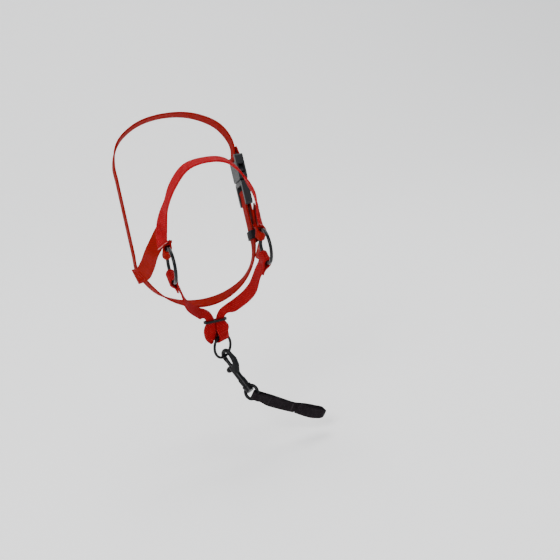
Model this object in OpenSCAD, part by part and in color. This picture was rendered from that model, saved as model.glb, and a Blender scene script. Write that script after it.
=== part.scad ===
// Head halter for a dog, in the shape it has when worn. Millimetres.
// +X is the dog's left, -Y is the way the nose points and +Z is up.
// The origin is the middle of the muzzle opening, inside the noseband.

/* [Webbing] */
// Width of the red noseband, cheek and neck webbing
web_w = 15; // [14:0.5:15.5]
// Thickness of the red webbing
web_t = 1.6; // [1.4:0.1:1.7]
// Width of the red jaw webbing
jaw_w = 13; // [12:0.5:13]
// Width of the tabs that hold the cheek rings
tab_w = 12; // [11:0.5:12.5]
// Width of the black safety link webbing
link_w = 10.2; // [9.6:0.2:10.2]
// Thickness of the black safety link webbing
link_t = 1.1; // [0.9:0.1:1.1]

/* [Rings] */
// Outer diameter of the two cheek rings
cheek_ring_d = 32; // [31:0.5:33]
// Wire diameter of the cheek rings
cheek_wire_d = 3; // [2.6:0.2:3]
// Wire diameter of the lead ring
lead_wire_d = 2.6; // [2.3:0.1:2.6]
// Outer diameter of the swivel eye
eye_d = 16; // [15.8:0.2:16.2]
// Wire diameter of the swivel eye
eye_wire_d = 3.2; // [2.9:0.1:3.2]

/* [Snap hook] */
// Thickness of the hook's curved wire
hook_d = 4.2; // [3.8:0.1:4.2]
// Diameter of the sliding bolt
bolt_d = 3.6; // [3.4:0.1:3.7]
// Radial running clearance of the bolt and of the swivel stem
running_gap = 0.05; // [0.03:0.01:0.09]
// Diameter of the thumb knob on the bolt
knob_d = 5.8; // [5:0.2:5.8]

/* [Buckle] */
// Overall width of the side-release buckle
buckle_w = 25; // [24.4:0.2:26]
// Overall thickness of the buckle socket
buckle_t = 8; // [8:0.5:9]
// Thickness of the plug's frame
plug_t = 6.8; // [6.4:0.2:7]

/* [Hidden] */
$fn = 48;

red = "firebrick";
black = "#1c181c";
steel = "#3a3d42";

// Both cheek rings turn on one axis across the muzzle.
ring_x = 41.6;
ring_y = -3;
ring_z = -36;
ring_r = (cheek_ring_d - cheek_wire_d) / 2;
// Half depth and half width of the folds round a cheek ring. The depth clears the ring's curve.
fold_depth = 4.6;
fold_half = 3.2;
// Where round the ring the tab and the jaw strap hold it, up from the rear
tab_at = 45;
jaw_at = -63;

// The lead ring hangs from the fold at the chin, turned about the vertical.
lead_top = [4, 50, -126.2];
lead_turn = 32;
lead_r = 10.8;
lead_fold = 4.8;

// The snap hook hangs on the lead ring, hook_at round from its foot. Its z axis points up the hook.
hook_at = -19.5;
snap_roll = 24.3;
snap_lean = -47.1;
arch_r = 4.2;
arch_z = lead_wire_d / 2 + 0.65 + hook_d / 2 - arch_r;
tip_z = -3.75;
bolt_top = -4;
bolt_foot = -15;
barrel_d = 6.2;
barrel_top = -10;
barrel_foot = -26.5;
bore_foot = -25;
knob_z = -11.6;
knob_travel = 6.5;
collar_d = 7.2;
window_top = -26.9;
window_foot = -29.5;
collar_foot = -32.5;
stem_d = 3;
head_d = 5;
spring_turns = 6;

// The swivel eye turns about the shank, and the link leaves it to one side.
eye_z = -42;
eye_turn = 16.7;
eye_r = (eye_d - eye_wire_d) / 2;
link_side = -19.4;
link_lean = -50.3;
link_fold = 4.25;
link_seam = 42;
link_end = 74;
link_sag = 2;

// The neck strap's sides run straight, leaning back. Heights along them start at side_at.
side_at = [58, 93.5, -34.5];
side_lean = 22;
side_foot = -26;
side_head = 72;
// Distance of the strap's two layers from the middle of the plug
layer = 2.1;
ladder_z = 26.5;
ladder_d = 1.9;
bar_z = 61.5;
bar_d = 3;
bar_fold = 2.7;
tail_foot = -22;
// The strap end is sewn on here, under the keeper.
tail_joint = -14;
mouth_z = 38;
plug_foot = 14;
prong_y = 7;

// Each row of a route is a point, the direction across the webbing and a width factor.
// The noseband runs from the middle of the bridge to the right cheek.
nose_route = [
    [0, 0, 46, 0, 1, 0.12, 1],
    [-16.5, 0, 43, -0.05, 1, 0.15, 1],
    [-29.5, 1, 30, -0.1, 1, 0.1, 1],
    [-37, 3, 15, -0.05, 1, -0.05, 1],
    [-41.2, 8.5, 0, -0.3, 0.92, -0.15, 1],
    [-42.8, 12, -10, -0.38, 0.86, -0.3, 1],
    [-43.7, 12.2, -17, -0.42, 0.72, -0.55, 1],
    [-43.9, 9.2, -21.6, -0.44, 0.5, -0.76, 1]
];
cheek_route = [
    [-40.2, 13.5, -3.5, -0.4, 0.9, -0.05, 0.6],
    [-43.4, 21.2, -15.2, -0.42, 0.85, 0.12, 1],
    [-49.8, 34, -31.4, -0.455, 0.83, 0.32, 1],
    [-52.6, 52, -47, -0.53, 0.76, 0.36, 1],
    [-55.8, 69, -59, -0.6, 0.5, 0.62, 1],
    [-60.2, 82, -64, -0.35, 0.55, 0.72, 1]
];
jaw_route = [
    [-31, 18, -77, 0.2, 0.9, 0.3, 1],
    [-17, 35, -95, 0.55, 0.8, 0, 0.85],
    [-6.5, 46, -104, 0.95, 0.3, 0, 0.6],
    [-4.3, 48, -110, 1, 0, 0, 0.6]
];
// Below the keeper the right half ends in a point, and the left half holds the lead ring.
chin_right = [
    [-6.6, 47, -119, 1, 0.1, 0.1, 0.92],
    [-6.6, 48, -127, 1, 0.1, 0.2, 0.66],
    [-6, 48.9, -131.8, 1, 0, 0.2, 0.2]
];
chin_left = [
    [5.8, 46.6, -118, -1, -0.15, 0, 0.98]
];
chin_end = [
    [3.4, 51.6, -118, -0.95, -0.3, 0, 0.85],
    [3.6, 50.4, -113, -1, -0.1, 0, 0.7]
];
neck_low = [
    [-52.6, 81.5, -69.5, -0.1, 0.93, -0.3, 1],
    [-41, 75.5, -84, -0.15, 0.95, -0.1, 1],
    [-22, 72.5, -95, -0.1, 1, 0.1, 1],
    [0, 71.5, -99, 0, 1, 0.2, 1]
];
neck_high = [
    [-50, 131, 51, 0.1, 0.93, -0.37, 1],
    [-30, 139.5, 64, 0.1, 0.95, -0.4, 1],
    [0, 143, 69, 0, 0.95, -0.4, 1]
];

function unit(v) = v / norm(v);
function place(r) = [r[0], r[1], r[2]];
function across(r) = [r[3], r[4], r[5]];
function mirrored(rows) = [for (r = rows) [-r[0], r[1], r[2], -r[3], r[4], r[5], r[6]]];
function reversed(list) = [for (i = [len(list) - 1:-1:0]) list[i]];
function without_last(list) = [for (i = [0:len(list) - 2]) list[i]];
function clamped(list, i) = list[max(0, min(len(list) - 1, i))];

function gap(a, b) = norm(place(b) - place(a));

// How a route passes through b, weighted by how near its neighbours a and c are
function pass(a, b, c, reach) =
    let (ab = gap(a, b), bc = gap(b, c))
    ab == 0 || bc == 0 ? reach * (c - a) / (ab + bc)
        : reach * ((b - a) * bc / ab + (c - b) * ab / bc) / (ab + bc);

// A curve from b to c that carries on smoothly from a and on to d
function between(a, b, c, d, t) =
    let (m = pass(a, b, c, gap(b, c)), n = pass(b, c, d, gap(b, c)))
    b + t * m + t * t * (3 * (c - b) - 2 * m - n) + t * t * t * (2 * (b - c) + m + n);

// The route's rows with more rows between them, up to steps in a long gap
function smooth(rows, steps) = [
    for (i = [0:len(rows) - 2])
        let (count = max(2, min(steps, round(gap(rows[i], rows[i + 1]) / 2.5))))
        for (k = [0:count - 1])
            between(clamped(rows, i - 1), rows[i], rows[i + 1], clamped(rows, i + 2), k / count),
    rows[len(rows) - 1]
];

// A row at p, moved by along and by off, with its width direction side.
function row(p, along, off, side, factor = 1) =
    let (c = p + along + off) [c[0], c[1], c[2], side[0], side[1], side[2], factor];

// A fold round a wire at p, open towards out, starting on the side that cross(side, out) gives
function fold(p, out, side, depth, half, factor = 1) =
    let (o = unit(out), a = unit(side), s = cross(a, o))
    [for (f = [65:23:295]) row(p, depth * cos(f) * o, half * sin(f) * s, a, factor)];

// A row on the neck strap's straight side, at height z and out from its middle by off.
function side_row(z, off = 0) =
    [side_at[0] + off, side_at[1] + z * sin(side_lean), side_at[2] + z * cos(side_lean),
     0, cos(side_lean), -sin(side_lean), 1];

// Flat webbing along a smoothed route, as one closed solid.
module webbing(rows, width, thick, steps = 4) {
    s = smooth(rows, steps);
    n = len(s);
    corners = [[-1, -1], [1, -1], [1, 1], [-1, 1]];
    points = [
        for (i = [0:n - 1])
            let (
                t = unit(place(clamped(s, i + 1)) - place(clamped(s, i - 1))),
                a = unit(across(s[i]) - (across(s[i]) * t) * t),
                f = cross(t, a)
            )
            for (q = corners)
                place(s[i]) + q[0] * a * width * s[i][6] / 2 + q[1] * f * thick / 2
    ];
    walls = [
        for (i = [0:n - 2])
            for (k = [0:3])
                let (a = 4 * i + k, b = 4 * i + (k + 1) % 4)
                for (tri = [[a, a + 4, b + 4], [a, b + 4, b]]) tri
    ];
    last = 4 * n - 4;
    ends = [[0, 1, 2], [0, 2, 3], [last, last + 2, last + 1], [last, last + 3, last + 2]];
    polyhedron(points, concat(walls, ends), convexity = 8);
}

module wire_ring(radius, wire) {
    rotate_extrude($fn = 72) translate([radius, 0]) circle(d = wire, $fn = 24);
}

// A box centred on x and y that runs from one height to another
module post(size_x, size_y, from, to) {
    translate([-size_x / 2, -size_y / 2, from]) cube([size_x, size_y, to - from]);
}

module peg(d, from, to) {
    translate([0, 0, from]) cylinder(d = d, h = to - from);
}

module at_lead_ring() {
    translate(lead_top) rotate([0, 0, lead_turn]) children();
}

module at_snap() {
    at_lead_ring() translate([0, 0, -lead_r]) rotate([0, hook_at, 0]) translate([0, 0, -lead_r])
        rotate([0, snap_roll, 0]) rotate([snap_lean, 0, 0]) children();
}

module at_eye() {
    at_snap() translate([0, arch_r, eye_z]) rotate([0, 0, eye_turn]) children();
}

module at_link() {
    at_eye() rotate([link_side, 0, 0]) translate([0, 0, -eye_r]) rotate([0, link_lean, 0]) children();
}

module at_buckle() {
    translate(side_at) rotate([-side_lean, 0, 0]) children();
}

module right_or_left(side) {
    mirror([side == "left" ? 1 : 0, 0, 0]) children();
}

module noseband() {
    right = reversed(nose_route);
    color(red) webbing(concat(without_last(right), mirrored(nose_route)), web_w, web_t, 6);
}

module cheek_strap(side) {
    color(red) right_or_left(side) webbing(cheek_route, web_w, web_t, 6);
}

// A folded tab from under the noseband's end to the cheek ring
module ring_tab(side) {
    held = [-ring_x, ring_y + ring_r * cos(tab_at), ring_z + ring_r * sin(tab_at)];
    along = [0, sin(tab_at), -cos(tab_at)];
    route = [
        [-39.65, 10.4, -22.5, -0.35, 0.66, -0.66, 1],
        [-39.2, 12.3, -20.3, -0.38, 0.66, -0.64, 1]
    ];
    layers = 0.9 * [0.89, 0.35, -0.28];
    rows = concat(
        [for (r = reversed(route)) row(place(r), layers, [0, 0, 0], across(r))],
        fold(held, [0.36, cos(tab_at), sin(tab_at)], along, fold_depth, fold_half),
        [for (r = route) row(place(r), -layers, [0, 0, 0], across(r))]
    );
    color(red) right_or_left(side) webbing(rows, tab_w, web_t, 4);
}

module cheek_ring(side) {
    color(steel) right_or_left(side)
        translate([-ring_x, ring_y, ring_z]) rotate([0, 90, 0]) wire_ring(ring_r, cheek_wire_d);
}

// The fold of the jaw strap round the right cheek ring, then its way to the keeper
function jaw_rows() =
    let (
        held = [-ring_x, ring_y + ring_r * cos(jaw_at), ring_z + ring_r * sin(jaw_at)],
        along = [0, -sin(jaw_at), cos(jaw_at)],
        out = unit([0.1, cos(jaw_at), sin(jaw_at)]),
        leave = unit([0.34, 0.94 * cos(jaw_at), 0.94 * sin(jaw_at)]),
        off = 0.95 * cross(along, leave)
    )
    concat(
        [for (reach = [13, 7.5]) row(held, reach * leave, off, along)],
        fold(held, out, along, fold_depth, fold_half),
        [for (reach = [7.5, 15]) row(held, reach * leave, -off, along)],
        jaw_route
    );

module jaw_strap_right() {
    color(red) webbing(concat(jaw_rows(), chin_right), jaw_w, web_t, 4);
}

module jaw_strap_left() {
    wire_dir = [-cos(lead_turn), -sin(lead_turn), 0];
    chin_fold = reversed(fold(lead_top, [0, 0, 1], wire_dir, lead_fold, 4.2, 0.95));
    color(red)
        webbing(concat(mirrored(jaw_rows()), chin_left, chin_fold, chin_end), jaw_w, web_t, 4);
}

// A flat metal loop that gathers the two halves of the jaw strap
module chin_keeper() {
    color(steel) translate([0, 48, -110.9]) linear_extrude(1.8) difference() {
        keeper_outline(8.2, 2.9);
        keeper_outline(8.2, 1.6);
    }
}

module keeper_outline(reach, r) {
    square([2 * reach, 2 * r], center = true);
    for (x = [-reach, reach]) {
        translate([x, 0]) circle(r, $fn = 32);
    }
}

module lead_ring() {
    color(steel) at_lead_ring() translate([0, 0, -lead_r]) rotate([90, 0, 0])
        wire_ring(lead_r, lead_wire_d);
}

module hook_arch() {
    translate([0, 0, arch_z]) rotate([90, 0, 90]) rotate_extrude(angle = 180, $fn = 72)
        translate([arch_r, 0]) circle(d = hook_d, $fn = 24);
    translate([0, arch_r, 0]) peg(hook_d, tip_z, arch_z);
}

// The back of the hook: it swells, then leans in to the barrel.
module hook_back() {
    stations = [[-arch_r, -3, hook_d + 0.1], [-4.1, -8.5, 5.7], [-2.2, -13.3, 5.8]];
    translate([0, -arch_r, 0]) peg(hook_d, -3, arch_z);
    for (i = [0, 1]) {
        hull() {
            for (s = [stations[i], stations[i + 1]]) {
                translate([0, s[0], s[1]]) sphere(d = s[2], $fn = 32);
            }
        }
    }
    hull() {
        translate([0, stations[2][0], stations[2][1]]) sphere(d = stations[2][2], $fn = 32);
        translate([0, arch_r, 0]) cylinder_slice(barrel_d, -14);
        translate([0, arch_r, 0]) cylinder_slice(barrel_d, -20);
    }
}

module snap_body() {
    clear = 2 * running_gap;
    color(black) at_snap() difference() {
        union() {
            hook_arch();
            hook_back();
            translate([0, arch_r, 0]) peg(barrel_d, barrel_foot, barrel_top);
            translate([0, arch_r, 0]) peg(collar_d, collar_foot, barrel_foot + 0.3);
        }
        translate([0, arch_r, 0]) peg(bolt_d + clear, bore_foot, barrel_top + 1);
        translate([0, arch_r + 2, 0]) post(2.7, 5, knob_z - knob_travel - 1.8, barrel_top + 1);
        translate([0, arch_r, 0]) peg(stem_d + clear, collar_foot - 1, window_foot + 1);
        translate([0, arch_r, 0]) post(10, head_d + 0.6, window_foot, window_top);
    }
}

module cylinder_slice(d, z) {
    translate([0, 0, z]) cylinder(d = d, h = 1, $fn = 32);
}

// The sliding bolt that closes the hook, with its thumb knob
module snap_bolt() {
    color(black) at_snap() translate([0, arch_r, 0]) {
        peg(bolt_d, bolt_foot, bolt_top);
        translate([0, 0, knob_z]) rotate([-90, 0, 0]) {
            peg(2.4, 0, 4);
            peg(knob_d, 3.8, 5.4);
            translate([0, 0, 5.4]) sphere(d = knob_d - 0.6, $fn = 32);
        }
    }
}

// The coil spring under the bolt
module snap_spring() {
    wire = 0.22;
    coil_r = bolt_d / 2 - 0.35;
    low = bore_foot + wire;
    high = bolt_foot - wire;
    steps = spring_turns * 12;
    sides = 6;
    points = [
        for (i = [0:steps])
            let (a = 360 * i / 12, z = low + (high - low) * i / steps)
            for (k = [0:sides - 1])
                let (r = coil_r + wire * cos(360 * k / sides))
                [r * cos(a), r * sin(a), z + wire * sin(360 * k / sides)]
    ];
    walls = [
        for (i = [0:steps - 1])
            for (k = [0:sides - 1])
                let (a = sides * i + k, b = sides * i + (k + 1) % sides)
                for (tri = [[a, a + sides, b + sides], [a, b + sides, b]]) tri
    ];
    last = sides * steps;
    ends = [[for (k = [0:sides - 1]) k], [for (k = [sides - 1:-1:0]) last + k]];
    color(steel) at_snap() translate([0, arch_r, 0])
        polyhedron(points, concat(walls, ends), convexity = 10);
}

// The round eye, with the stem and head that turn in the snap's collar
module swivel_eye() {
    top = collar_foot - eye_z;
    color(black) at_eye() {
        rotate([0, 90, 0]) wire_ring(eye_r, eye_wire_d);
        peg(6.4, eye_r - 1, top - 0.1);
        peg(9, eye_r + 0.2, top - 1.3);
        peg(7.4, 1.4, eye_r);
        peg(stem_d, top - 0.2, window_foot - eye_z + 0.2);
        peg(head_d, window_foot - eye_z + 0.1, window_top - eye_z - 0.5);
    }
}

// The black link, folded round the eye and sewn into a loop for the collar
module link_strap() {
    near = link_t / 2 + 0.15;
    wide = 3.9;
    y_axis = [0, 1, 0];
    rows = concat(
        [link_row(-near, link_seam), link_row(-near, 27, 1, 0.4), link_row(-near, 15, 1, 0.7)],
        fold([0, 0, 0], [0, 0, -1], y_axis, link_fold, link_fold, 0.74),
        [link_row(near, 15, 1, -0.7), link_row(near, 27, 1, -0.4), link_row(near, 41)],
        [link_row(2.3, 47), link_row(wide, 54), link_row(wide, 63)],
        [link_row(wide - 1.3, link_end - 1.6, 0.66, -1.1), link_row(0, link_end, 0.36, -1.6)],
        [link_row(1.3 - wide, link_end - 1.6, 0.66, -1.1), link_row(-wide, 63)],
        [link_row(-wide, 54), link_row(-2.3, 48), link_row(-near - 0.1, link_seam + 1)]
    );
    color(black) at_link() webbing(rows, link_w, link_t, 3);
}

// A row of the link, which sags edgewise, so its middle follows a shallow curve
function link_row(off, far, factor = 1, shift = 0) =
    [off, link_sag - link_sag * pow(2 * far / link_end - 1, 2) + shift, -far, 0, 1, 0, factor];

module neck_strap() {
    straight = [for (z = [side_head:-14:side_foot]) side_row(z)];
    bar = place(side_row(bar_z));
    up = [0, sin(side_lean), cos(side_lean)];
    wide = [0, cos(side_lean), -sin(side_lean)];
    rows = concat(
        [side_row(side_head - 1, 0.95)],
        fold(bar, up, wide, bar_fold, bar_fold),
        [side_row(side_head, -0.95)],
        mirrored(neck_high),
        reversed(without_last(neck_high)),
        mirrored(straight),
        neck_low,
        mirrored(reversed(without_last(neck_low))),
        [for (z = [side_foot + 4, tail_joint - 0.2]) side_row(z, -layer)]
    );
    color(red) webbing(rows, web_w, web_t, 4);
}

// From the left cheek up to the plug, round its bar and down again as the free tail
module neck_strap_end() {
    up = [0, sin(side_lean), cos(side_lean)];
    wide = [0, cos(side_lean), -sin(side_lean)];
    rows = concat(
        [for (z = [tail_joint + 0.2, 2, 14]) side_row(z, -layer)],
        fold(place(side_row(ladder_z)), -up, wide, layer, layer),
        [for (z = [14, 2, -10, tail_foot]) side_row(z, layer)]
    );
    color(red) webbing(rows, web_w, web_t, 3);
}

// The female half of the buckle, on the strap that comes from the nape
module buckle_socket() {
    color(black) at_buckle() difference() {
        union() {
            difference() {
                plate_outline(buckle_w, mouth_z, 63, buckle_t);
                post(30, web_w + 1.6, 56.5, 70);
            }
            translate([0, 0, bar_z]) rotate([90, 0, 0]) cylinder(d = bar_d, h = web_w + 3, center = true);
        }
        post(5, 19.2, mouth_z - 1, 55.5);
        post(5, 40, 44, 53);
    }
}

// A rounded plate in the plane of the strap, thick along x
module plate_outline(wide, from, to, thick) {
    rotate([90, 0, 90]) linear_extrude(thick, center = true) hull() {
        for (y = [-wide / 2 + 3, wide / 2 - 3]) {
            for (z = [from + 3, to - 3]) {
                translate([y, z]) circle(3, $fn = 32);
            }
        }
    }
}

// The male half of the buckle: a frame with two strap bars and a guide tongue
module buckle_plug() {
    color(black) at_buckle() {
        difference() {
            plate_outline(buckle_w, plug_foot, mouth_z - 0.5, plug_t);
            post(30, web_w + 2.2, plug_foot - 1, 33);
        }
        for (z = [plug_foot + 1.5, ladder_z]) {
            translate([0, 0, z]) rotate([90, 0, 0]) cylinder(d = ladder_d, h = web_w + 4, center = true);
        }
        post(3.4, 4, mouth_z - 1, 51);
    }
}

// A barbed prong that bends inwards to let the plug go
module buckle_prong(side) {
    color(black) at_buckle() mirror([0, side == "rear" ? 0 : 1, 0]) {
        translate([0, prong_y, 0]) post(3.6, 2.2, mouth_z, 52);
        rotate([90, 0, 90]) linear_extrude(3.6, center = true)
            polygon([[prong_y, 44.8], [11.6, 45.6], [11.6, 47], [prong_y + 1, 52], [prong_y, 52]]);
    }
}

// A sewn loop that keeps the free tail against the strap
module tail_keeper() {
    color(black) at_buckle() difference() {
        post(9, web_w + 4, -19, -11);
        post(6.6, web_w + 1.4, -20, -10);
    }
}

noseband();
cheek_strap("right");  // cheek_strap_right
cheek_strap("left");  // cheek_strap_left
ring_tab("right");  // ring_tab_right
ring_tab("left");  // ring_tab_left
cheek_ring("right");  // cheek_ring_right
cheek_ring("left");  // cheek_ring_left
jaw_strap_right();
jaw_strap_left();
chin_keeper();
lead_ring();
snap_body();
snap_bolt();
snap_spring();
swivel_eye();
link_strap();
neck_strap();
neck_strap_end();
buckle_socket();
buckle_plug();
buckle_prong("front");  // buckle_prong_front
buckle_prong("rear");  // buckle_prong_rear
tail_keeper();
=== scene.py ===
import math

import bpy
import numpy as np
from mathutils import Matrix, Vector


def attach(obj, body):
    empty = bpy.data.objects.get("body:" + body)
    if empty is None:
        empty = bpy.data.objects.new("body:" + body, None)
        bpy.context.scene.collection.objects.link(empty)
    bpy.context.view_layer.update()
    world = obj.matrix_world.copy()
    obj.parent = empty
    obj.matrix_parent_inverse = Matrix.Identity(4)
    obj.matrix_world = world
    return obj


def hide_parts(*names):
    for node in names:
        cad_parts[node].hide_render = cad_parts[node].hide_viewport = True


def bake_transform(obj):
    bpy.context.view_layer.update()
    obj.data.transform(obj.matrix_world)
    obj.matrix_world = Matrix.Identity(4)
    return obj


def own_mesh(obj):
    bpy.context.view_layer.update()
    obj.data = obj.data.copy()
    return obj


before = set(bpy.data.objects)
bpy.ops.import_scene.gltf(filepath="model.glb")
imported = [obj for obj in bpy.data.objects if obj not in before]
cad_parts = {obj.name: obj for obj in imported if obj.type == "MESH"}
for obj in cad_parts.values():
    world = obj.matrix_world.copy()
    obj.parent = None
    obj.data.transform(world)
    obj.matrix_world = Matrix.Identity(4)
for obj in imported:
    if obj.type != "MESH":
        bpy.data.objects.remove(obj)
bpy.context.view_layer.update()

MM = 0.001

# ---------------------------------------------------------------- camera
# The viewer stands in front of the dog, a little to its right and above it, with the camera tipped.
AZIMUTH, ELEVATION, DISTANCE = -13.5, 13.0, 0.800
AIM = Vector((0.043, -0.028, -0.060))
TIP = 6.85
LENS = 61.2


def make_camera():
    a, e = math.radians(AZIMUTH), math.radians(ELEVATION)
    eye = DISTANCE * Vector((math.sin(a) * math.cos(e), -math.cos(a) * math.cos(e), math.sin(e)))
    back = (eye - AIM).normalized()
    level = Vector((0, 0, 1)).cross(back).normalized()
    up = back.cross(level)
    tip = math.radians(TIP)
    right = level * math.cos(tip) - up * math.sin(tip)
    up = back.cross(right)
    data = bpy.data.cameras.new("camera")
    data.lens = LENS
    camera = bpy.data.objects.new("camera", data)
    camera.matrix_world = Matrix((
        (right.x, up.x, back.x, eye.x),
        (right.y, up.y, back.y, eye.y),
        (right.z, up.z, back.z, eye.z),
        (0, 0, 0, 1)))
    bpy.context.collection.objects.link(camera)
    bpy.context.scene.camera = camera


make_camera()

# ---------------------------------------------------------------- measures, in millimetres and degrees
# Webbing: noseband, cheeks and neck; jaw strap; ring tabs; link strap; tail keeper
WEB_W, WEB_T = 15.0, 1.6
JAW_W, TAB_W = 13.0, 12.0
LINK_W, LINK_T = 10.2, 1.1
KEEPER_W, KEEPER_T = 8.0, 1.1
LAYER_OFF, TAB_OFF = 0.95, 0.9  # half the step between the layers of a fold

# The right cheek ring, and where on it the tab and the jaw strap are folded
RING, RING_R = (-41.6, -3.0, -36.0), 14.5
FOLD_DEPTH, FOLD_HALF = 4.6, 3.2
TAB_AT, JAW_AT = 45.0, -63.0

# The lead ring's top in its fold, and the snap hook, its swivel eye and the link strap below it
LEAD_TOP, LEAD_TURN, LEAD_R = (4.0, 50.0, -126.2), 32.0, 10.8
LEAD_FOLD, LEAD_HALF = 4.8, 4.2
CHIN_TACK, CHIN_TACK_HALF = (5.0, 46.8, -121.5), 4.6
HOOK_AT, SNAP_ROLL, SNAP_LEAN, SHANK_Y = -19.5, 24.3, -47.1, 4.2
SPRING_LOW, SPRING_HIGH, SPRING_TURNS, SPRING_R, WIRE_R = -24.78, -15.22, 6, 1.45, 0.22
EYE_Z, EYE_TURN, EYE_R = -42.0, 16.7, 6.4
LINK_SIDE, LINK_LEAN, LINK_FOLD = -19.4, -50.3, 4.25
LINK_SEAM, LINK_END, LINK_SAG, LINK_TACKS = 42.0, 74.0, 2.0, (13.5, 38.5)
LINK_OFF, LOOP_OFF = LINK_T / 2 + 0.15, 3.9  # the layers' distance from the middle, sewn and in the loop

# The buckle's side of the neck strap; z runs along it, up from its middle
SIDE_AT, SIDE_LEAN, SIDE_FOOT, SIDE_HEAD = (58.0, 93.5, -34.5), 22.0, -26.0, 72.0
LAYER, LADDER_Z, BAR_Z, BAR_FOLD = 2.1, 26.5, 61.5, 2.7
TAIL_FOOT, TAIL_JOINT, KEEPER_Z = -22.0, -14.0, -15.0

# Stitches: thread radius, length, and the way one rises out of the webbing and sinks back
STITCH_R, STITCH_LENGTH = 0.24, 2.5
STITCH_ALONG, STITCH_RISE = (0.08, 0.2, 0.4, 0.6, 0.8, 0.92), (-0.16, 0.08, 0.16, 0.16, 0.08, -0.16)
TACK_GAP, TACK_HALF, TACK_SLANT, TACK_R = 0.55, 0.9, 0.9, 0.2
THREAD_END = 0.55  # a thread's radius at its two ends, as a share of the rest

# Each row is a point, the direction across the webbing and a width factor.
NOSE = [
    (0, 0, 46, 0, 1, 0.12, 1),
    (-16.5, 0, 43, -0.05, 1, 0.15, 1),
    (-29.5, 1, 30, -0.1, 1, 0.1, 1),
    (-37, 3, 15, -0.05, 1, -0.05, 1),
    (-41.2, 8.5, 0, -0.3, 0.92, -0.15, 1),
    (-42.8, 12, -10, -0.38, 0.86, -0.3, 1),
    (-43.7, 12.2, -17, -0.42, 0.72, -0.55, 1),
    (-43.9, 9.2, -21.6, -0.44, 0.5, -0.76, 1)]
CHEEK = [
    (-40.2, 13.5, -3.5, -0.4, 0.9, -0.05, 0.6),
    (-43.4, 21.2, -15.2, -0.42, 0.85, 0.12, 1),
    (-49.8, 34, -31.4, -0.455, 0.83, 0.32, 1),
    (-52.6, 52, -47, -0.53, 0.76, 0.36, 1),
    (-55.8, 69, -59, -0.6, 0.5, 0.62, 1),
    (-60.2, 82, -64, -0.35, 0.55, 0.72, 1)]
TAB = [
    (-39.65, 10.4, -22.5, -0.35, 0.66, -0.66, 1),
    (-39.2, 12.3, -20.3, -0.38, 0.66, -0.64, 1)]
JAW = [
    (-31, 18, -77, 0.2, 0.9, 0.3, 1),
    (-17, 35, -95, 0.55, 0.8, 0, 0.85),
    (-6.5, 46, -104, 0.95, 0.3, 0, 0.6),
    (-4.3, 48, -110, 1, 0, 0, 0.6)]
CHIN_RIGHT = [
    (-6.6, 47, -119, 1, 0.1, 0.1, 0.92),
    (-6.6, 48, -127, 1, 0.1, 0.2, 0.66),
    (-6, 48.9, -131.8, 1, 0, 0.2, 0.2)]
CHIN_LEFT = [(5.8, 46.6, -118, -1, -0.15, 0, 0.98)]
CHIN_END = [(3.4, 51.6, -118, -0.95, -0.3, 0, 0.85), (3.6, 50.4, -113, -1, -0.1, 0, 0.7)]
NECK_LOW = [
    (-52.6, 81.5, -69.5, -0.1, 0.93, -0.3, 1),
    (-41, 75.5, -84, -0.15, 0.95, -0.1, 1),
    (-22, 72.5, -95, -0.1, 1, 0.1, 1),
    (0, 71.5, -99, 0, 1, 0.2, 1)]
NECK_HIGH = [
    (-50, 131, 51, 0.1, 0.93, -0.37, 1),
    (-30, 139.5, 64, 0.1, 0.95, -0.4, 1),
    (0, 143, 69, 0, 0.95, -0.4, 1)]


# ---------------------------------------------------------------- routes
def unit(v):
    v = np.asarray(v, float)
    return v / np.linalg.norm(v)


def row(p, along, off, side, factor=1.0):
    return np.array([*(np.asarray(p, float) + along + off), *side, factor], float)


def rows_of(table):
    return [np.array(r, float) for r in table]


def mirrored(rows):
    flip = np.array([-1, 1, 1, -1, 1, 1, 1], float)
    return [r * flip for r in rows]


def fold(p, out, side, depth, half, factor=1.0):
    """Rows round a wire at p, open towards out."""
    o, a = unit(out), unit(side)
    s = np.cross(a, o)
    turns = [math.radians(f) for f in range(65, 296, 23)]
    return [row(p, depth * math.cos(f) * o, half * math.sin(f) * s, a, factor) for f in turns]


def on_ring(a):
    """The middle of the right cheek ring's wire at angle a."""
    return np.array([RING[0], RING[1] + RING_R * math.cos(a), RING[2] + RING_R * math.sin(a)])


def side_row(z, off=0.0):
    """A row on the buckle's side of the neck strap, moved off it to the dog's left."""
    lean = math.radians(SIDE_LEAN)
    at = np.array(SIDE_AT) + np.array([off, z * math.sin(lean), z * math.cos(lean)])
    return row(at, 0, 0, (0, math.cos(lean), -math.sin(lean)))


def smooth(rows, pitch):
    """The route with rows about pitch apart, on a cubic with Bessel's tangents at the given rows."""
    n = len(rows)
    gap = [np.linalg.norm(rows[i + 1][:3] - rows[i][:3]) for i in range(n - 1)]
    out = []
    for i in range(n - 1):
        b, c, bc = rows[i], rows[i + 1], gap[i]
        leave = arrive = c - b
        if i > 0:
            ab = gap[i - 1]
            leave = bc * ((b - rows[i - 1]) * bc / ab + (c - b) * ab / bc) / (ab + bc)
        if i < n - 2:
            cd = gap[i + 1]
            arrive = bc * ((c - b) * cd / bc + (rows[i + 2] - c) * bc / cd) / (bc + cd)
        square, cube = 3 * (c - b) - 2 * leave - arrive, 2 * (b - c) + leave + arrive
        count = max(2, round(bc / pitch))
        for k in range(count):
            t = k / count
            out.append(b + t * leave + t * t * square + t ** 3 * cube)
    out.append(rows[-1])
    return np.array(out)


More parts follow.
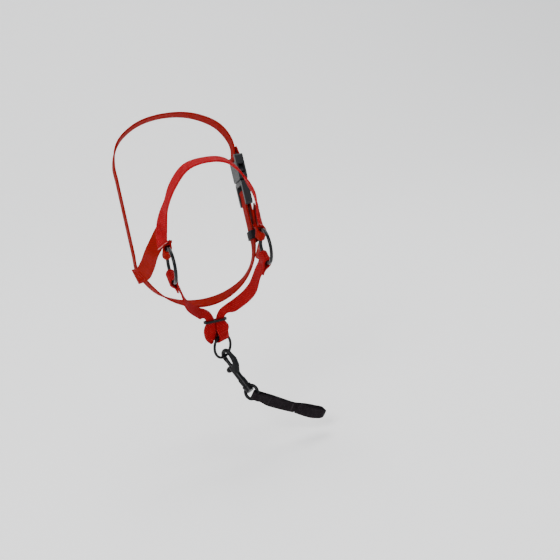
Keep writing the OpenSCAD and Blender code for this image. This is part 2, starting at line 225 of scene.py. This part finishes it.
class Route:
    """A smoothed route with the frame of the webbing at each row."""

    def __init__(self, rows, width, thick, pitch=1.0):
        s = smooth(rows, pitch)
        self.p = s[:, :3]
        step = np.gradient(self.p, axis=0)
        self.t = step / np.linalg.norm(step, axis=1)[:, None]
        a = s[:, 3:6] - np.sum(s[:, 3:6] * self.t, axis=1)[:, None] * self.t
        self.a = a / np.linalg.norm(a, axis=1)[:, None]
        self.f = np.cross(self.t, self.a)
        self.half = width * s[:, 6] / 2
        self.thick = thick
        self.s = np.concatenate([[0], np.cumsum(np.linalg.norm(np.diff(self.p, axis=0), axis=1))])
        self.length = float(self.s[-1])

    def at(self, s, u, lift):
        """The point at distance s, u across from the middle, lifted off the middle plane."""
        mix = [np.array([np.interp(s, self.s, v[:, k]) for k in range(3)]) for v in (self.p, self.a, self.f)]
        return mix[0] + u * unit(mix[1]) + lift * unit(mix[2])

    def near(self, point):
        """The distance along the route of the row nearest a point."""
        return float(self.s[np.argmin(np.linalg.norm(self.p - np.array(point, float), axis=1))])


# ---------------------------------------------------------------- meshes
def new_mesh(name, points, faces, uvs=None, sharp_from=60):
    """A mesh object from points in millimetres, smooth except where faces meet at sharp_from degrees."""
    mesh = bpy.data.meshes.new(name)
    mesh.from_pydata([tuple(float(c) * MM for c in p) for p in points], [], faces)
    if uvs is not None:
        layer = mesh.uv_layers.new(name="UVMap")
        layer.data.foreach_set("uv", np.array([c for f in uvs for c in f], np.float32).ravel())
    mesh.validate()
    mesh.polygons.foreach_set("use_smooth", [True] * len(mesh.polygons))
    mesh.set_sharp_from_angle(angle=math.radians(sharp_from))
    obj = bpy.data.objects.new(name, mesh)
    bpy.context.collection.objects.link(obj)
    return obj


def section(half, thick):
    """The outline of the webbing, with full, rounded selvedges. Each point is (across, up)."""
    r = thick / 2
    flat = half - r
    sunk = 0.05 * thick
    across = np.linspace(-flat, flat, 11)
    swell = sunk * np.exp(-((np.abs(across) - flat) / (0.12 * half)) ** 2)
    top = [(x, r + w - sunk) for x, w in zip(across, swell)]
    edge = [(flat + r * math.cos(g), r * math.sin(g)) for g in np.linspace(1.05, -1.05, 5)]
    return top + edge + [(x, -y) for x, y in reversed(top)] + [(-x, y) for x, y in reversed(edge)]


def band(name, route, material):
    """Webbing along a route, capped at both ends, with its UVs in metres across and along."""
    n = len(route.p)
    points, around = [], []
    for i in range(n):
        outline = section(route.half[i], route.thick)
        points += [route.p[i] + x * route.a[i] + y * route.f[i] for x, y in outline]
        run = np.linalg.norm(np.diff(np.array(outline + outline[:1]), axis=0), axis=1)
        around.append(np.concatenate([[0], np.cumsum(run)]) - route.half[i])
    m = len(outline)
    faces, uvs = [], []
    for i in range(n - 1):
        j = i + 1
        si, sj = route.s[i], route.s[j]
        for k in range(m):
            l = (k + 1) % m
            faces.append((i * m + k, i * m + l, j * m + l, j * m + k))
            uvs.append([(around[i][k] * MM, si * MM), (around[i][k + 1] * MM, si * MM),
                        (around[j][k + 1] * MM, sj * MM), (around[j][k] * MM, sj * MM)])
    for base, order in ((0, list(range(m - 1, -1, -1))), ((n - 1) * m, list(range(m)))):
        middle = len(points)
        points.append(np.mean(points[base:base + m], axis=0))
        for k in range(m):
            faces.append((base + order[k], base + order[(k + 1) % m], middle))
            uvs.append([(0, 0), (0.0001, 0), (0, 0.0001)])
    obj = new_mesh(name, points, faces, uvs, sharp_from=50)
    flip_if_inside_out(obj)
    obj.data.materials.append(material)
    return obj


def flip_if_inside_out(obj):
    mesh = obj.data
    total = sum(Vector(p.center).dot(p.normal) * p.area for p in mesh.polygons)
    if total < 0:
        mesh.flip_normals()


def tube(path, radius, sides=6, end=THREAD_END):
    """A round thread or wire along a path of points, as points and faces; end scales its last radii."""
    path = np.array(path, float)
    n = len(path)
    t = np.gradient(path, axis=0)
    t /= np.linalg.norm(t, axis=1)[:, None]
    guide = unit(np.cross(t[0], [0.3, 0.5, 0.8]))
    points, faces = [], []
    for i in range(n):
        a = unit(guide - guide.dot(t[i]) * t[i])
        b = np.cross(t[i], a)
        r = radius * (end if i in (0, n - 1) else 1.0)
        points += [path[i] + r * (math.cos(g) * a + math.sin(g) * b)
                   for g in np.linspace(0, 2 * math.pi, sides, endpoint=False)]
        guide = a
    for i in range(n - 1):
        for k in range(sides):
            l = (k + 1) % sides
            faces.append((i * sides + k, i * sides + l, (i + 1) * sides + l, (i + 1) * sides + k))
    faces.append(tuple(range(sides - 1, -1, -1)))
    faces.append(tuple((n - 1) * sides + k for k in range(sides)))
    return points, faces


class Threads:
    """Stitches gathered into one mesh."""

    def __init__(self):
        self.points, self.faces = [], []

    def add(self, path, radius):
        points, faces = tube(path, radius)
        base = len(self.points)
        self.points += points
        self.faces += [tuple(base + k for k in f) for f in faces]

    def line(self, route, start, end, lift, length=STITCH_LENGTH, radius=STITCH_R):
        """A row of stitches on a route's face, from (s, u) to (s, u)."""
        (s0, u0), (s1, u1) = start, end
        count = max(1, round(math.hypot(s1 - s0, u1 - u0) / length))
        side = 1 if lift > 0 else -1
        for k in range(count):
            path = []
            for along, rise in zip(STITCH_ALONG, STITCH_RISE):
                f = (k + along) / count
                path.append(route.at(s0 + (s1 - s0) * f, u0 + (u1 - u0) * f, lift + side * rise))
            self.add(path, radius)

    def box(self, route, s0, s1, half, lift):
        """A box of stitches with a cross in it."""
        corners = [(s0, -half), (s0, half), (s1, half), (s1, -half)]
        for a, b in zip(corners, corners[1:] + corners[:1]):
            self.line(route, a, b, lift)
        self.line(route, corners[0], corners[2], lift)
        self.line(route, corners[1], corners[3], lift)

    def bar(self, route, s, half, lift, radius=STITCH_R):
        """A bar tack: close, slanted stitches across the webbing."""
        for u in np.arange(-half, half, TACK_GAP):
            slant = TACK_SLANT if round(u / TACK_GAP) % 2 else -TACK_SLANT
            end = (s + TACK_HALF, u + TACK_GAP * 0.5 * slant)
            self.line(route, (s - TACK_HALF, u), end, lift, length=9, radius=radius)

    def sealed_end(self, route, s, half, lift, count, radius):
        """The melted edge of a cut end: one bead across the webbing, which its pale finish makes a painted
        highlight along the edge.
        """
        self.add([route.at(s, u, 0.8 * lift) for u in np.linspace(-half, half, count)], radius)

    def build(self, name, material):
        obj = new_mesh(name, self.points, self.faces)
        obj.data.materials.append(material)
        return obj


# ---------------------------------------------------------------- materials
class Nodes:
    """A short way to write a material's nodes."""

    def __init__(self, name):
        self.material = bpy.data.materials.new(name)
        self.material.use_nodes = True
        self.tree = self.material.node_tree
        self.shader = self.tree.nodes["Principled BSDF"]

    def put(self, socket, value):
        if isinstance(value, bpy.types.NodeSocket):
            self.tree.links.new(value, socket)
        else:
            socket.default_value = value

    def math(self, op, a, b=0.0):
        node = self.tree.nodes.new("ShaderNodeMath")
        node.operation = op
        for socket, value in zip(node.inputs, (a, b)):
            self.put(socket, value)
        return node.outputs[0]

    def uv(self):
        node = self.tree.nodes.new("ShaderNodeUVMap")
        node.uv_map = "UVMap"
        split = self.tree.nodes.new("ShaderNodeSeparateXYZ")
        self.tree.links.new(node.outputs[0], split.inputs[0])
        return split.outputs[0], split.outputs[1]

    def vector(self, x, y):
        node = self.tree.nodes.new("ShaderNodeCombineXYZ")
        for socket, value in zip(node.inputs, (x, y)):
            self.put(socket, value)
        return node.outputs[0]

    def place(self):
        return self.tree.nodes.new("ShaderNodeTexCoord").outputs["Object"]

    def white(self, vector):
        node = self.tree.nodes.new("ShaderNodeTexWhiteNoise")
        node.noise_dimensions = "2D"
        self.tree.links.new(vector, node.inputs["Vector"])
        return node.outputs["Value"]

    def noise(self, vector, scale, detail=3.0, rough=0.5):
        node = self.tree.nodes.new("ShaderNodeTexNoise")
        self.tree.links.new(vector, node.inputs["Vector"])
        node.inputs["Scale"].default_value = scale
        node.inputs["Detail"].default_value = detail
        node.inputs["Roughness"].default_value = rough
        return node.outputs["Fac"]

    def ramp(self, value, low, high, out_low=0.0, out_high=1.0):
        node = self.tree.nodes.new("ShaderNodeMapRange")
        node.interpolation_type = "SMOOTHSTEP"
        for socket, v in zip(node.inputs, (value, low, high, out_low, out_high)):
            self.put(socket, v)
        return node.outputs[0]

    def mix(self, factor, a, b):
        """A colour from a to b; each is a socket or three numbers."""
        node = self.tree.nodes.new("ShaderNodeMix")
        node.data_type = "RGBA"
        self.put(node.inputs[0], factor)
        for socket, colour in ((node.inputs[6], a), (node.inputs[7], b)):
            self.put(socket, (*colour, 1) if isinstance(colour, (tuple, list)) else colour)
        return node.outputs[2]

    def bump(self, height, strength, distance):
        node = self.tree.nodes.new("ShaderNodeBump")
        node.inputs["Strength"].default_value = strength
        node.inputs["Distance"].default_value = distance
        self.tree.links.new(height, node.inputs["Height"])
        self.tree.links.new(node.outputs[0], self.shader.inputs["Normal"])

    def set(self, **values):
        for key, value in values.items():
            self.put(self.shader.inputs[key.replace("_", " ")], value)
        return self.material


def webbing(name, gap, body, light, wide=1.25, long=2.1, fleck=0.5, rough=0.8):
    """Coarse webbing: staggered floats of thick yarn, with painted shade darker between them and paler
    flecks on their crowns.

    gap, body and light are the colours of the painted shade between the floats, of the floats, and of the
    flecks, which are partly paler yarn and partly painted highlight. A float is wide by long millimetres,
    and soiled patches darken the whole.
    """
    n = Nodes(name)
    u, v = n.uv()
    column = n.math("DIVIDE", u, wide * MM)
    odd = n.math("MODULO", n.math("ABSOLUTE", n.math("FLOOR", column)), 2.0)
    cell = n.math("ADD", n.math("DIVIDE", v, long * MM), n.math("MULTIPLY", odd, 0.5))
    across = n.math("SINE", n.math("MULTIPLY", n.math("FRACT", column), math.pi))
    along = n.math("SINE", n.math("MULTIPLY", n.math("FRACT", cell), math.pi))
    crown = n.math("MULTIPLY", n.math("POWER", across, 0.6), n.math("POWER", along, 0.5))
    strand = n.math("SINE", n.math("ADD", n.math("MULTIPLY", column, 19.0), n.math("MULTIPLY", cell, 9.0)))
    height = n.math("ADD", crown, n.math("MULTIPLY", strand, 0.05))
    chance = n.white(n.vector(n.math("FLOOR", column), n.math("FLOOR", cell)))
    soil = n.noise(n.vector(u, v), 90.0)
    # The pale flecks sit only on the floats' crowns: partly paler yarn, partly painted highlight.
    pale = n.math("MULTIPLY", n.ramp(chance, 0.45, 1.0), n.ramp(crown, 0.55, 1.0))
    # Painted shade and light: the gap colour between the floats, brightening to the body colour on their
    # crowns.
    colour = n.mix(n.ramp(crown, 0.1, 0.85), gap, body)
    colour = n.mix(n.math("MULTIPLY", pale, fleck), colour, light)
    colour = n.mix(n.ramp(soil, 0.45, 0.75, 0.0, 0.28), colour, [c * 0.55 for c in body])
    n.bump(height, 0.9, 0.0004)
    return n.set(Base_Color=colour, Roughness=rough, Specular_IOR_Level=0.07)


def thread(name, colour):
    """Twisted thread, or the smoother bead of a melted end, whose pale pink is a painted highlight."""
    n = Nodes(name)
    twist = n.noise(n.place(), 2600.0, 1.0)
    n.bump(twist, 0.5, 0.0002)
    shade = n.mix(twist, [c * 0.7 for c in colour], colour)
    return n.set(Base_Color=shade, Roughness=0.6, Specular_IOR_Level=0.1)


def enamel(name, rough, worn, coat):
    """Black coated metal, rubbed to bare steel in specks."""
    n = Nodes(name)
    fine = n.noise(n.place(), 900.0, 5.0, 0.65)
    broad = n.noise(n.place(), 110.0, 2.0)
    bare = n.math("MULTIPLY", n.ramp(fine, 0.62, 0.7), n.ramp(broad, 0.5, 0.62, 0.0, worn))
    n.bump(fine, 0.08, 0.0003)
    n.set(Specular_IOR_Level=0.16, Coat_Weight=coat, Coat_Roughness=0.12)
    shade = n.mix(bare, (0.0022, 0.0022, 0.0032), (0.40, 0.40, 0.42))
    return n.set(Base_Color=shade, Metallic=n.math("MULTIPLY", bare, 0.9),
                 Roughness=n.ramp(broad, 0.3, 0.7, rough, rough + 0.12))


def plastic(name):
    """Moulded plastic with a fine grain and slightly uneven black."""
    n = Nodes(name)
    grain = n.noise(n.place(), 2200.0, 2.0)
    n.bump(grain, 0.35, 0.0002)
    shade = n.mix(n.noise(n.place(), 60.0), (0.009, 0.009, 0.010), (0.016, 0.016, 0.018))
    return n.set(Base_Color=shade, Roughness=n.ramp(grain, 0.3, 0.7, 0.42, 0.54), Specular_IOR_Level=0.22)


def spring_wire(name):
    n = Nodes(name)
    rough = n.ramp(n.noise(n.place(), 700.0), 0.3, 0.7, 0.25, 0.4)
    return n.set(Base_Color=(0.5, 0.5, 0.51, 1), Metallic=1.0, Roughness=rough)


CRIMSON = webbing("crimson_webbing", (0.11, 0.0008, 0.003), (0.47, 0.0030, 0.009), (0.68, 0.065, 0.07),
                  fleck=0.38)
# A darker copy of the crimson webbing: the same red webbing, darkened as painted shade, for the cheek, tab
# and neck straps.
BRICK_SHADE = webbing("brick_webbing_painted_shade", (0.085, 0.0012, 0.0008), (0.32, 0.0035, 0.0018), (0.46, 0.025, 0.012),
                fleck=0.3)
# Halfway between the crimson and its darker copy: the red webbing half in painted shade.
JAW_RED_HALF_SHADE = webbing("jaw_webbing_half_painted_shade", (0.08, 0.0010, 0.0020), (0.35, 0.0042, 0.0075), (0.56, 0.05, 0.05),
                  fleck=0.35)
BLACK_WEB = webbing("black_webbing", (0.0025, 0.0018, 0.0025), (0.011, 0.007, 0.0095), (0.06, 0.048, 0.056),
                    wide=0.95, long=1.5, fleck=0.35, rough=0.6)
RED_THREAD = thread("red_thread", (0.36, 0.006, 0.010))
BLACK_THREAD = thread("black_thread", (0.035, 0.03, 0.033))
# Pale pink for the beads along the cut ends: a painted highlight on the cut edges.
SEALED_HIGHLIGHT = thread("melted_edge_painted_highlight", (0.60, 0.19, 0.18))
RING_METAL = enamel("ring_enamel", 0.26, 0.6, 0.12)
BLACK_METAL = enamel("snap_enamel", 0.34, 0.12, 0.03)
PLASTIC = plastic("moulded_black")
SPRING = spring_wire("spring_wire")

# ---------------------------------------------------------------- the webbing
halter_red, jaw_red, link_black, keeper_black = Threads(), Threads(), Threads(), Threads()
# Beads along the cut ends, which carry the pale painted highlight.
nose_end_highlights, jaw_end_highlights = Threads(), Threads()


def hold(obj, body, slot, *nodes):
    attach(obj, body)
    if nodes:
        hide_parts(*nodes)


def outer(route, s, middle):
    """Which face of the webbing at s looks away from a point: 1 or -1."""
    away = route.at(s, 0, 1.0) - route.at(s, 0, 0.0)
    return 1 if away.dot(route.at(s, 0, 0.0) - np.array(middle, float)) > 0 else -1


def noseband():
    """The noseband, with the stitches that hold the cheek straps and the ring tabs beneath its ends."""
    side = rows_of(NOSE)
    route = Route(list(reversed(side))[:-1] + mirrored(side), WEB_W, WEB_T)
    hold(band("noseband_webbing", route, CRIMSON), "halter", "red_webbing", "noseband")
    for from_end in (lambda s: s, lambda s: route.length - s):
        face = outer(route, from_end(10.0), (0, 0, -10)) * WEB_T / 2
        halter_red.bar(route, from_end(2.6), WEB_W / 2 - 1.2, face)
        nose_end_highlights.sealed_end(route, from_end(0.3), 7.3, face, 12, 0.5)
        halter_red.box(route, from_end(9.5), from_end(20.0), WEB_W / 2 - 2.2, face)


def cheek(side, name):
    """The cheek strap, with its stitches at the neck, and the tab that holds the ring."""
    strap = Route(side(rows_of(CHEEK)), WEB_W, WEB_T)
    hold(band("cheek_webbing_" + name, strap, BRICK_SHADE), "halter", "red_webbing", "cheek_strap_" + name)
    face = outer(strap, strap.length - 5.0, (0, 70, -50)) * WEB_T / 2
    halter_red.box(strap, strap.length - 13.5, strap.length - 2.0, WEB_W / 2 - 2.0, face)

    a = math.radians(TAB_AT)
    out, across = (0.36, math.cos(a), math.sin(a)), (0, math.sin(a), -math.cos(a))
    off = TAB_OFF * np.array([0.89, 0.35, -0.28])
    way = rows_of(TAB)
    rows = [row(r[:3], off, 0, r[3:6]) for r in reversed(way)]
    rows += fold(on_ring(a), out, across, FOLD_DEPTH, FOLD_HALF)
    rows += [row(r[:3], -off, 0, r[3:6]) for r in way]
    tab = Route(side(rows), TAB_W, WEB_T, 0.6)
    hold(band("tab_webbing_" + name, tab, BRICK_SHADE), "halter", "red_webbing", "ring_tab_" + name)


def jaw_rows():
    """The right half of the jaw strap: its end, its fold round the ring, and the way down to the chin."""
    a = math.radians(JAW_AT)
    held = on_ring(a)
    along = np.array([0, -math.sin(a), math.cos(a)])
    leave = unit((0.34, 0.94 * math.cos(a), 0.94 * math.sin(a)))
    off = LAYER_OFF * np.cross(along, leave)
    loop = fold(held, unit((0.1, math.cos(a), math.sin(a))), along, FOLD_DEPTH, FOLD_HALF)
    rows = [row(held, reach * leave, off, along) for reach in (13, 7.5)] + loop
    return rows + [row(held, reach * leave, -off, along) for reach in (7.5, 15)] + rows_of(JAW)


def jaws():
    """The jaw strap's halves: the right one ends in a point, and the left one folds round the lead ring."""
    right = Route(jaw_rows() + rows_of(CHIN_RIGHT), JAW_W, WEB_T, 0.8)
    hold(band("jaw_strap_right_webbing", right, JAW_RED_HALF_SHADE), "jaw", "red_webbing", "jaw_strap_right")
    t = math.radians(LEAD_TURN)
    wire = (-math.cos(t), -math.sin(t), 0)
    loop = list(reversed(fold(LEAD_TOP, (0, 0, 1), wire, LEAD_FOLD, LEAD_HALF, 0.95)))
    left = Route(mirrored(jaw_rows()) + rows_of(CHIN_LEFT) + loop + rows_of(CHIN_END), JAW_W, WEB_T, 0.8)
    hold(band("jaw_strap_left_webbing", left, JAW_RED_HALF_SHADE), "jaw", "red_webbing", "jaw_strap_left")
    for route in (right, left):
        face = WEB_T / 2 * outer(route, 3.0, (0, 20, -60))
        jaw_red.bar(route, 3.2, JAW_W / 2 - 1.3, face)
        jaw_end_highlights.sealed_end(route, 0.3, 6.2, face, 10, 0.45)
    chin = left.near(CHIN_TACK)
    jaw_red.bar(left, chin, CHIN_TACK_HALF, -WEB_T / 2)
    jaw_red.bar(left, chin, CHIN_TACK_HALF, WEB_T / 2)


noseband()
cheek(rows_of, "right")
cheek(mirrored, "left")
jaws()


def chain(*steps):
    m = Matrix.Identity(4)
    for s in steps:
        m = m @ s
    return m


def turn(axis, degrees):
    return Matrix.Rotation(math.radians(degrees), 4, axis)


def shift(x, y, z):
    return Matrix.Translation((x, y, z))


AT_SNAP = chain(shift(*LEAD_TOP), turn("Z", LEAD_TURN), shift(0, 0, -LEAD_R), turn("Y", HOOK_AT),
                shift(0, 0, -LEAD_R), turn("Y", SNAP_ROLL), turn("X", SNAP_LEAN))
AT_EYE = chain(AT_SNAP, shift(0, SHANK_Y, EYE_Z), turn("Z", EYE_TURN))
AT_LINK = chain(AT_EYE, turn("X", LINK_SIDE), shift(0, 0, -EYE_R), turn("Y", LINK_LEAN))
AT_SIDE = chain(shift(*SIDE_AT), turn("X", -SIDE_LEAN))


def placed(m, rows):
    """Rows given in a part's own frame, moved to where the part is."""
    r = np.array(m.to_3x3())
    t = np.array(m.translation)
    return [np.array([*(r @ q[:3] + t), *(r @ q[3:6]), q[6]]) for q in rows]


def link():
    """The link strap: two layers sewn together, round the swivel eye's wire, and a loop at the far end."""
    def sag(far):
        return LINK_SAG - LINK_SAG * (2 * far / LINK_END - 1) ** 2

    def at(off, far, factor=1.0, aside=0.0):
        return np.array([off, sag(far) + aside, -far, 0, 1, 0, factor], float)

    rows = [at(-LINK_OFF, LINK_SEAM), at(-LINK_OFF, 27, 1, 0.4), at(-LINK_OFF, 15, 1, 0.7)]
    rows += fold((0, 0, 0), (0, 0, -1), (0, 1, 0), LINK_FOLD, LINK_FOLD, 0.74)
    rows += [at(LINK_OFF, 15, 1, -0.7), at(LINK_OFF, 27, 1, -0.4), at(LINK_OFF, 41)]
    rows += [at(2.3, 47), at(LOOP_OFF, 54), at(LOOP_OFF, 63)]
    rows += [at(LOOP_OFF - 1.3, LINK_END - 1.6, 0.66, -1.1), at(0, LINK_END, 0.36, -1.6)]
    rows += [at(1.3 - LOOP_OFF, LINK_END - 1.6, 0.66, -1.1), at(-LOOP_OFF, 63)]
    rows += [at(-LOOP_OFF, 54), at(-2.3, 48), at(-LINK_OFF - 0.1, LINK_SEAM + 1)]
    route = Route(placed(AT_LINK, rows), LINK_W, LINK_T, 0.8)
    hold(band("link_webbing", route, BLACK_WEB), "link", "black_webbing", "link_strap")
    for far in LINK_TACKS:
        first = abs(far - LINK_SEAM) + 0.4
        second = route.near(AT_LINK @ Vector((LINK_OFF, sag(far), -far)))
        for s in (first, second):
            link_black.bar(route, s, LINK_W / 2 - 1.6, LINK_T / 2, radius=TACK_R)
            link_black.bar(route, s, LINK_W / 2 - 1.6, -LINK_T / 2, radius=TACK_R)


link()


def neck():
    """The neck strap from the socket round to the left cheek, and its end through the plug's two bars."""
    lean = math.radians(SIDE_LEAN)
    up = np.array([0, math.sin(lean), math.cos(lean)])
    wide = np.array([0, math.cos(lean), -math.sin(lean)])
    high, low = rows_of(NECK_HIGH), rows_of(NECK_LOW)
    straight = [side_row(z) for z in range(int(SIDE_HEAD), int(SIDE_FOOT) - 1, -14)]
    rows = [side_row(SIDE_HEAD - 1, LAYER_OFF)] + fold(side_row(BAR_Z)[:3], up, wide, BAR_FOLD, BAR_FOLD)
    rows += [side_row(SIDE_HEAD, -LAYER_OFF)] + mirrored(high) + list(reversed(high[:-1]))
    rows += mirrored(straight) + low + mirrored(list(reversed(low[:-1])))
    rows += [side_row(z, -LAYER) for z in (SIDE_FOOT + 4, TAIL_JOINT - 0.05)]
    strap = Route(rows, WEB_W, WEB_T, 1.2)
    hold(band("neck_webbing", strap, BRICK_SHADE), "halter", "red_webbing", "neck_strap")
    for s in (3.0, 6.2):
        halter_red.bar(strap, s, WEB_W / 2 - 1.2, WEB_T / 2)

    inner = [side_row(z, -LAYER) for z in (TAIL_JOINT + 0.05, 2, 14)]
    loop = fold(side_row(LADDER_Z)[:3], -up, wide, LAYER, LAYER)
    lower = Route(inner + loop[:2], WEB_W, WEB_T, 0.9)
    tail = Route(loop[1:] + [side_row(z, LAYER) for z in (14, 2, -10, TAIL_FOOT)], WEB_W, WEB_T, 0.9)
    for name, route in (("neck_end_inner", lower), ("neck_end_tail", tail)):
        obj = band(name, route, BRICK_SHADE)
        if route is lower:
            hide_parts("neck_strap_end")
        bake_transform(obj)
    for s in (tail.length - 5.0, tail.length - 5.0 + 3):
        halter_red.line(tail, (s, -WEB_W / 2 + 1.6), (s, WEB_W / 2 - 1.6), WEB_T / 2)


neck()


def keeper():
    """The sewn loop round the strap and its tail."""
    x, y, r = 3.9, WEB_W / 2 + 1.35, 1.6
    corners = [(x - r, y - r, 0), (r - x, y - r, 90), (r - x, r - y, 180), (x - r, r - y, 270)]
    rows = []
    for cx, cy, start in corners:
        for g in (0, 30, 60, 90):
            a = math.radians(start + g)
            rows.append(np.array([cx + r * math.cos(a), cy + r * math.sin(a), KEEPER_Z, 0, 0, 1, 1.0]))
    rows.append(rows[0] + np.array([0, -1.0, 0, 0, 0, 0, 0]))
    route = Route(placed(AT_SIDE, rows), KEEPER_W, KEEPER_T, 0.7)
    hold(band("keeper_webbing", route, BLACK_WEB), "keeper", "black_webbing", "tail_keeper")
    keeper_black.bar(route, 4.0, 3.2, KEEPER_T / 2, radius=0.18)
    keeper_black.bar(route, 4.0, 3.2, -KEEPER_T / 2, radius=0.18)


keeper()

hold(halter_red.build("halter_stitches", RED_THREAD), "halter", "red_webbing")
# The cut ends' beads, in the pale pink of a painted highlight.
hold(nose_end_highlights.build("noseband_sealed_end_highlights", SEALED_HIGHLIGHT), "halter", "red_webbing")
hold(jaw_end_highlights.build("jaw_sealed_end_highlights", SEALED_HIGHLIGHT), "jaw", "red_webbing")
hold(jaw_red.build("jaw_stitches", RED_THREAD), "jaw", "red_webbing")
hold(link_black.build("link_stitches", BLACK_THREAD), "link", "black_webbing")
hold(keeper_black.build("keeper_stitches", BLACK_THREAD), "keeper", "black_webbing")


def coil():
    """The spring under the bolt, coiled at one fixed length."""
    steps = 20
    high = SPRING_HIGH
    at = AT_SNAP @ shift(0, SHANK_Y, 0)
    path = []
    for i in range(SPRING_TURNS * steps + 1):
        a = 2 * math.pi * i / steps
        z = SPRING_LOW + (high - SPRING_LOW) * i / (SPRING_TURNS * steps)
        path.append(at @ Vector((SPRING_R * math.cos(a), SPRING_R * math.sin(a), z)))
    points, faces = tube(path, WIRE_R, sides=8, end=1.0)
    obj = new_mesh("bolt_spring_coil", points, faces)
    obj.data.materials.append(SPRING)
    hold(obj, "bolt", "spring_steel", "snap_spring")
    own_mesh(obj)


coil()

# ---------------------------------------------------------------- the hard parts' finishes
for names, material in (
        (("cheek_ring_right", "cheek_ring_left"), RING_METAL),
        (("lead_ring", "chin_keeper", "snap_body", "snap_bolt", "swivel_eye"), BLACK_METAL),
        (("buckle_socket", "buckle_plug", "buckle_prong_front", "buckle_prong_rear"), PLASTIC)):
    for name in names:
        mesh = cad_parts[name].data
        mesh.materials.clear()
        mesh.materials.append(material)

# ---------------------------------------------------------------- the studio, in metres
FLOOR_Z, FLOOR_FRONT, BEND_FROM, BEND_R, WALL_TOP, FLOOR_HALF = -0.236, -2.5, 0.9, 1.2, 4.5, 4.0
LAMPS = (
    ("key", (-1.1, -1.3, 1.3), 0.8, 32.0),
    ("fill", (1.5, -1.1, 0.5), 1.2, 8.0),
    ("top", (0.1, 0.6, 1.7), 1.2, 26.0))
LAMPS_AIM = (0.02, 0.03, -0.06)
SKY, SKY_STRENGTH = (0.9, 0.93, 1.0, 1), 0.5


def studio():
    """A pale floor that bends up into a wall, three soft lamps and an even sky."""
    profile = [(FLOOR_FRONT, FLOOR_Z), (BEND_FROM, FLOOR_Z)]
    profile += [(BEND_FROM + BEND_R * math.sin(g), FLOOR_Z + BEND_R - BEND_R * math.cos(g))
                for g in np.linspace(0.06, math.pi / 2, 24)]
    profile.append((BEND_FROM + BEND_R, WALL_TOP))
    points = [(x / MM, y / MM, z / MM) for y, z in profile for x in (-FLOOR_HALF, FLOOR_HALF)]
    faces = [(2 * i, 2 * i + 1, 2 * i + 3, 2 * i + 2) for i in range(len(profile) - 1)]
    floor = new_mesh("floor", points, faces)
    n = Nodes("pale_floor")
    n.set(Emission_Color=(1, 1, 1, 1), Emission_Strength=0.3)
    floor.data.materials.append(n.set(Base_Color=(0.92, 0.92, 0.91, 1), Roughness=0.85))
    for name, at, size, power in LAMPS:
        data = bpy.data.lights.new(name, "AREA")
        data.size, data.energy = size, power
        lamp = bpy.data.objects.new(name, data)
        lamp.location = at
        lamp.rotation_euler = (Vector(LAMPS_AIM) - Vector(at)).to_track_quat("-Z", "Y").to_euler()
        bpy.context.collection.objects.link(lamp)
    world = bpy.data.worlds.new("studio")
    world.use_nodes = True
    background = world.node_tree.nodes["Background"]
    background.inputs["Color"].default_value = SKY
    background.inputs["Strength"].default_value = SKY_STRENGTH
    bpy.context.scene.world = world


studio()
